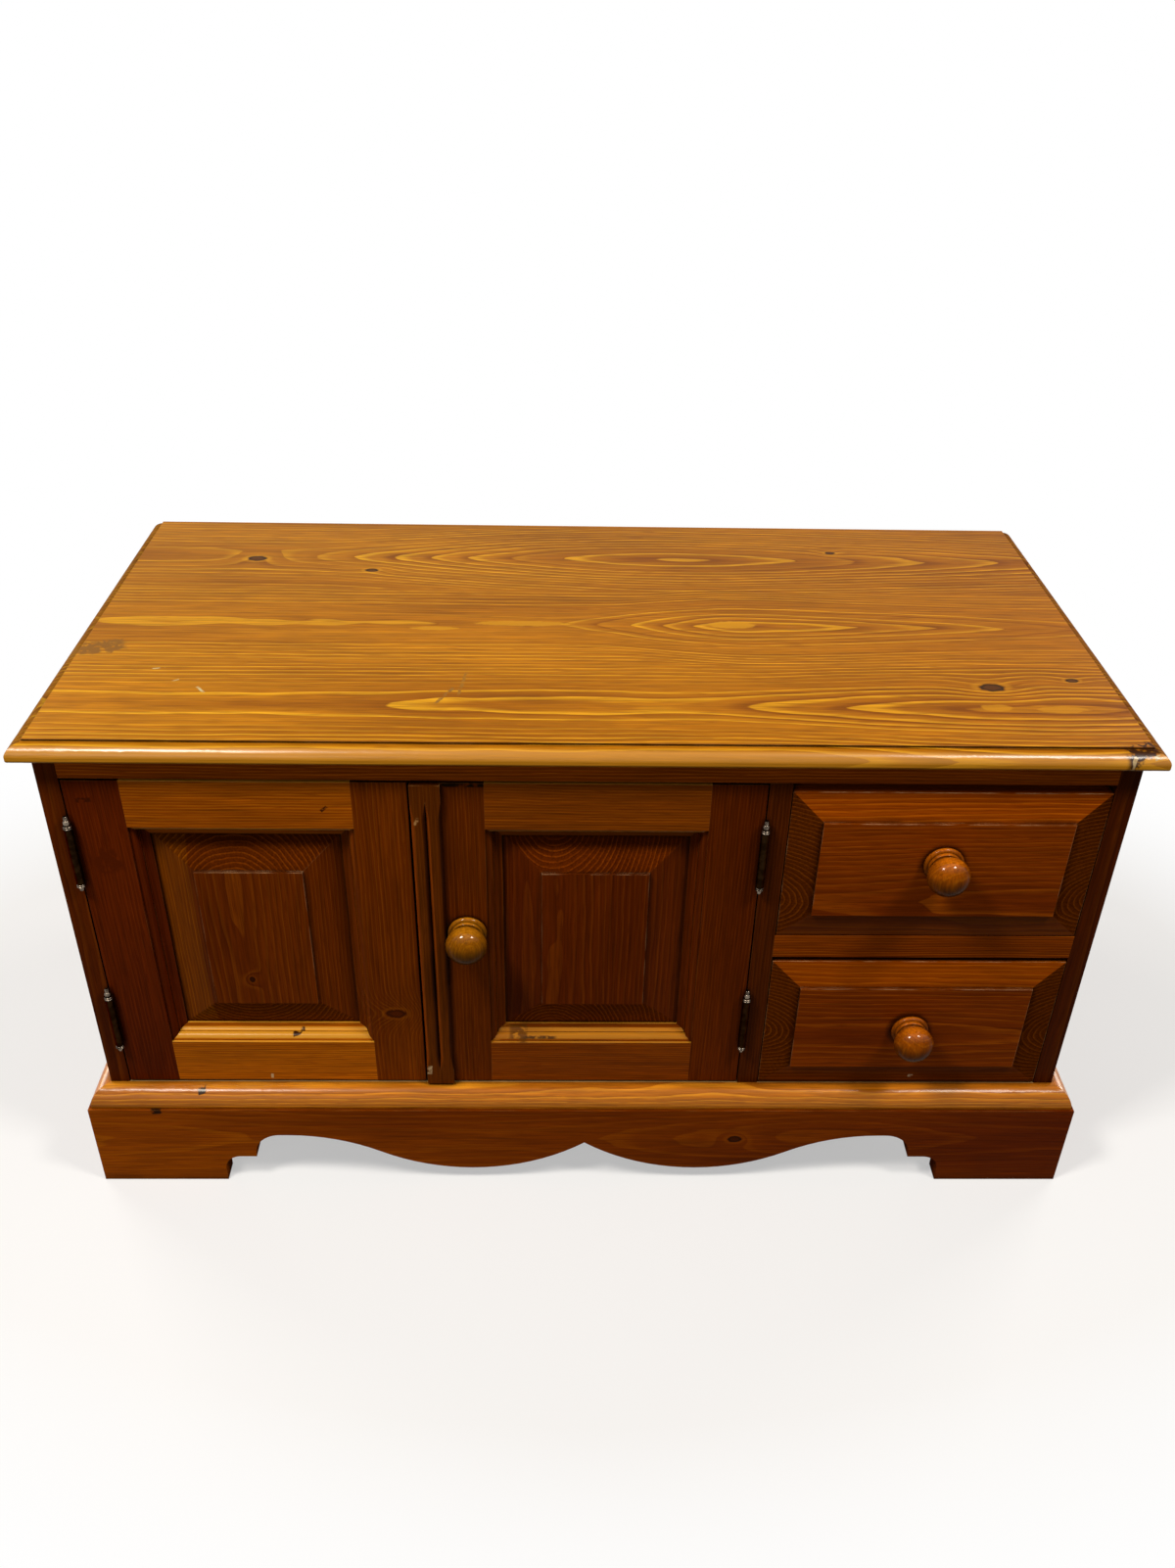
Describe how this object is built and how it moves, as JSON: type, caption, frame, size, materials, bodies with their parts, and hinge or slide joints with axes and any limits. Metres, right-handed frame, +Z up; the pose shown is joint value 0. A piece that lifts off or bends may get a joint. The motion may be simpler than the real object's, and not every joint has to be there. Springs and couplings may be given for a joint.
{
  "type": "low cupboard with drawers",
  "caption": "Low varnished pine cupboard with panelled doors beside stacked drawers, turned wooden knobs, a moulded top and a scalloped plinth on bracket feet.",
  "frame": {"origin": "on the floor, under the middle of the overall box", "axes": "+X to the right as seen from the front, +Y to the back, +Z up"},
  "size_m": [1.044, 0.541, 0.551],
  "materials": {
    "pine_top": "satin varnish over stained pine, grain along the length",
    "pine_rails": "satin varnish over stained pine, grain along the length",
    "pine_uprights": "satin varnish over stained pine, grain upright",
    "pine_panels": "satin varnish over stained pine",
    "pine_base": "satin varnish over stained pine, grain along the length",
    "pine_knobs": "gloss varnish over turned pine",
    "bare_pine": "planed, unfinished",
    "plywood": "sanded, unfinished",
    "dark_hinge_metal": "dark bronzed finish, worn at the finials",
    "zinc_steel": "zinc plated",
    "catch_plastic": "moulded, brown"
  },
  "bodies": {
    "cabinet": {"top_board": "pine_top", "front_top_rail": "pine_rails", "drawer_rail": "pine_rails", "left_side": "pine_uprights", "right_side": "pine_uprights", "divider": "pine_uprights", "front_plinth": "pine_base", "left_plinth": "pine_base", "right_plinth": "pine_base", "front_base_moulding": "pine_base", "left_base_moulding": "pine_base", "right_base_moulding": "pine_base", "bottom_board": "bare_pine", "back_top_rail": "bare_pine", "drawer_runners": "bare_pine", "drawer_kickers": "bare_pine", "drawer_stops": "bare_pine", "back_plinth_rail": "bare_pine", "plinth_blocks": "bare_pine", "back_panel": "plywood", "left_hinge_frame_leaves": "dark_hinge_metal", "right_hinge_frame_leaves": "dark_hinge_metal", "hinge_pins": "dark_hinge_metal", "hinge_frame_screws": "dark_hinge_metal", "top_screws": "zinc_steel", "magnet_catches": "catch_plastic"},
    "left_door": {"left_door_hinge_stile": "pine_uprights", "left_door_meeting_stile": "pine_uprights", "left_door_top_rail": "pine_rails", "left_door_bottom_rail": "pine_rails", "left_door_panel": "pine_panels", "left_hinge_door_leaves": "dark_hinge_metal", "left_hinge_door_screws": "dark_hinge_metal", "left_strike_plate": "zinc_steel"},
    "right_door": {"right_door_hinge_stile": "pine_uprights", "right_door_meeting_stile": "pine_uprights", "right_door_top_rail": "pine_rails", "right_door_bottom_rail": "pine_rails", "right_door_panel": "pine_panels", "right_hinge_door_leaves": "dark_hinge_metal", "right_hinge_door_screws": "dark_hinge_metal", "right_strike_plate": "zinc_steel", "meeting_strip": "pine_uprights", "right_door_knob": "pine_knobs", "right_door_knob_screw": "zinc_steel"},
    "upper_drawer": {"upper_drawer_front": "pine_panels", "upper_drawer_left_side": "bare_pine", "upper_drawer_right_side": "bare_pine", "upper_drawer_back": "bare_pine", "upper_drawer_bottom": "plywood", "upper_drawer_knob": "pine_knobs", "upper_drawer_knob_screw": "zinc_steel"},
    "lower_drawer": {"lower_drawer_front": "pine_panels", "lower_drawer_left_side": "bare_pine", "lower_drawer_right_side": "bare_pine", "lower_drawer_back": "bare_pine", "lower_drawer_bottom": "plywood", "lower_drawer_knob": "pine_knobs", "lower_drawer_knob_screw": "zinc_steel"}
  },
  "joints": [
    {"name": "left_door_hinge", "type": "hinge", "parent": "cabinet", "child": "left_door", "pos_m": [-0.4794, -0.2295, 0.32125], "axis": [0, 0, -1], "range_deg": [0, 170]},
    {"name": "right_door_hinge", "type": "hinge", "parent": "cabinet", "child": "right_door", "pos_m": [0.1614, -0.2295, 0.32125], "axis": [0, 0, 1], "range_deg": [0, 95]},
    {"name": "upper_drawer_slide", "type": "slide", "parent": "cabinet", "child": "upper_drawer", "axis": [0, -1, 0], "range_m": [0, 0.25]},
    {"name": "lower_drawer_slide", "type": "slide", "parent": "cabinet", "child": "lower_drawer", "axis": [0, -1, 0], "range_m": [0, 0.25]}
  ]
}
